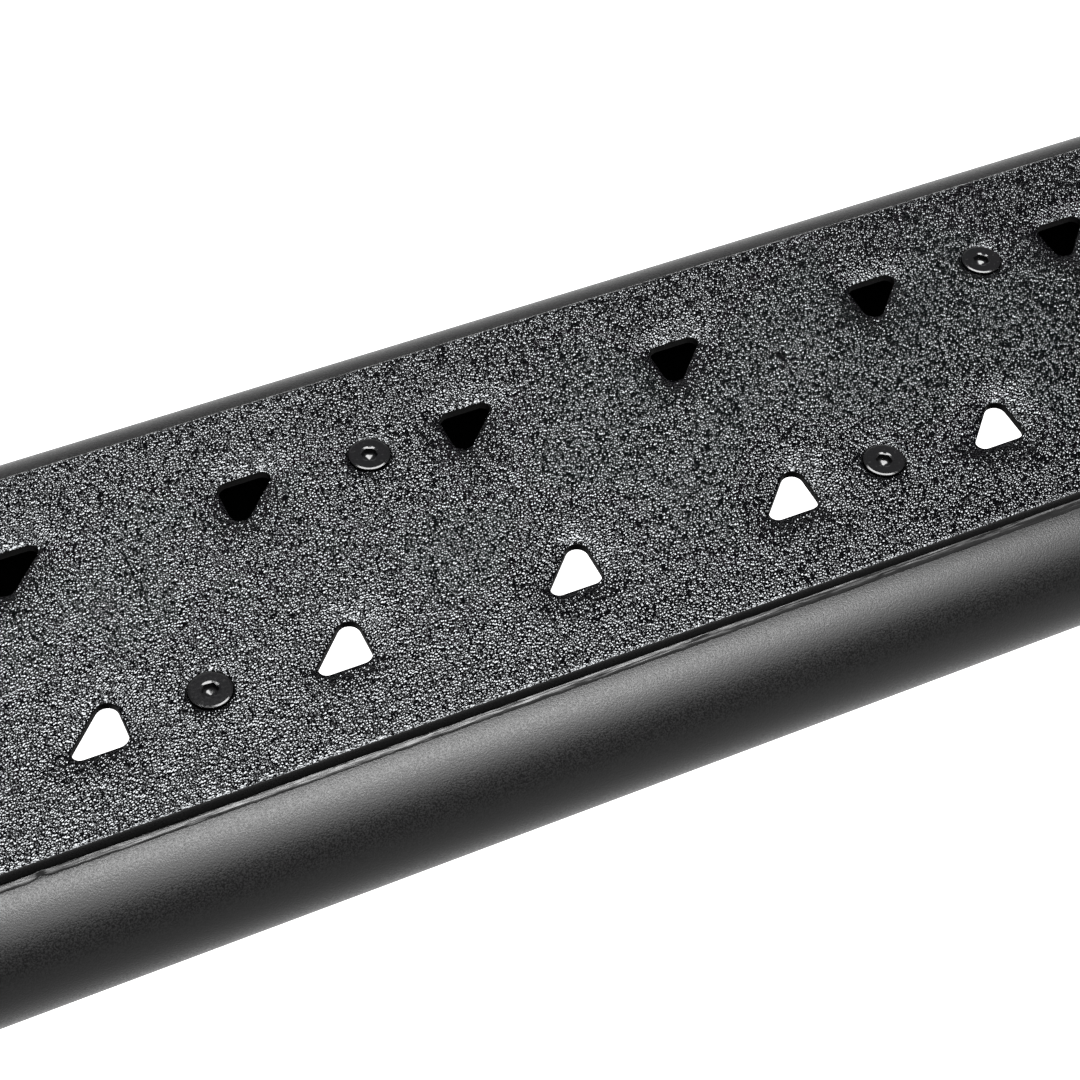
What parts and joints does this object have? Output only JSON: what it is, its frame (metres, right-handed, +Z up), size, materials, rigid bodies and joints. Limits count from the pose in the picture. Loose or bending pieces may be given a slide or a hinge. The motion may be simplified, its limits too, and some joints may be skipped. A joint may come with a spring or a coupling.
{
  "type": "running board",
  "caption": "Truck running board: a textured, dimple-stamped step plate with triangular grip holes on a rounded black steel body, with end caps and sliding vehicle brackets.",
  "frame": {"origin": "centre of the bounding box's underside, which is the plane the two brackets stand on", "axes": "+X along the board to the right seen from outside the vehicle, +Y towards the vehicle, +Z up"},
  "size_m": [1.367, 0.2224, 0.15],
  "materials": {
    "textured_steel": "coarse sprayed anti-slip coat, satin black",
    "coated_steel": "fine-grain satin black powder coat",
    "bracket_steel": "black powder coat",
    "black_screw": "black oxide, satin",
    "zinc": "zinc plated",
    "foam_rubber": "matt closed-cell foam",
    "silicone": "glossy cured sealant",
    "black_plastic": "fine moulded grain"
  },
  "bodies": {
    "board": {"step_plate": "textured_steel", "front_rail": "coated_steel", "front_gasket": "foam_rubber", "front_seal_bead": "silicone", "rear_rail": "coated_steel", "rear_gasket": "foam_rubber", "rear_seal_bead": "silicone", "cross_channel_1": "bracket_steel", "cross_channel_2": "bracket_steel", "cross_channel_3": "bracket_steel", "cross_channel_4": "bracket_steel", "end_cap_left": "black_plastic", "end_plate_left": "bracket_steel", "end_cap_right": "black_plastic", "end_plate_right": "bracket_steel", "plate_screw_01": "black_screw", "rivet_nut_01": "zinc", "plate_screw_02": "black_screw", "rivet_nut_02": "zinc", "plate_screw_03": "black_screw", "rivet_nut_03": "zinc", "plate_screw_04": "black_screw", "rivet_nut_04": "zinc", "plate_screw_05": "black_screw", "rivet_nut_05": "zinc", "plate_screw_06": "black_screw", "rivet_nut_06": "zinc", "plate_screw_07": "black_screw", "rivet_nut_07": "zinc", "plate_screw_08": "black_screw", "rivet_nut_08": "zinc", "plate_screw_09": "black_screw", "rivet_nut_09": "zinc", "plate_screw_10": "black_screw", "rivet_nut_10": "zinc", "plate_screw_11": "black_screw", "rivet_nut_11": "zinc", "plate_screw_12": "black_screw", "rivet_nut_12": "zinc", "cap_screw_left_front": "black_screw", "cap_screw_left_rear": "black_screw", "cap_screw_right_front": "black_screw", "cap_screw_right_rear": "black_screw"},
    "left_bracket": {"bracket_left": "bracket_steel", "bracket_bolt_left_front": "zinc", "bracket_washer_left_front": "zinc", "bracket_nut_left_front": "zinc", "bracket_bolt_left_rear": "zinc", "bracket_washer_left_rear": "zinc", "bracket_nut_left_rear": "zinc"},
    "right_bracket": {"bracket_right": "bracket_steel", "bracket_bolt_right_front": "zinc", "bracket_washer_right_front": "zinc", "bracket_nut_right_front": "zinc", "bracket_bolt_right_rear": "zinc", "bracket_washer_right_rear": "zinc", "bracket_nut_right_rear": "zinc"}
  },
  "joints": [
    {"name": "left_bracket_slide", "type": "slide", "parent": "board", "child": "left_bracket", "axis": [1, 0, 0], "range_m": [-0.04, 0.04]},
    {"name": "right_bracket_slide", "type": "slide", "parent": "board", "child": "right_bracket", "axis": [1, 0, 0], "range_m": [-0.04, 0.04]}
  ]
}
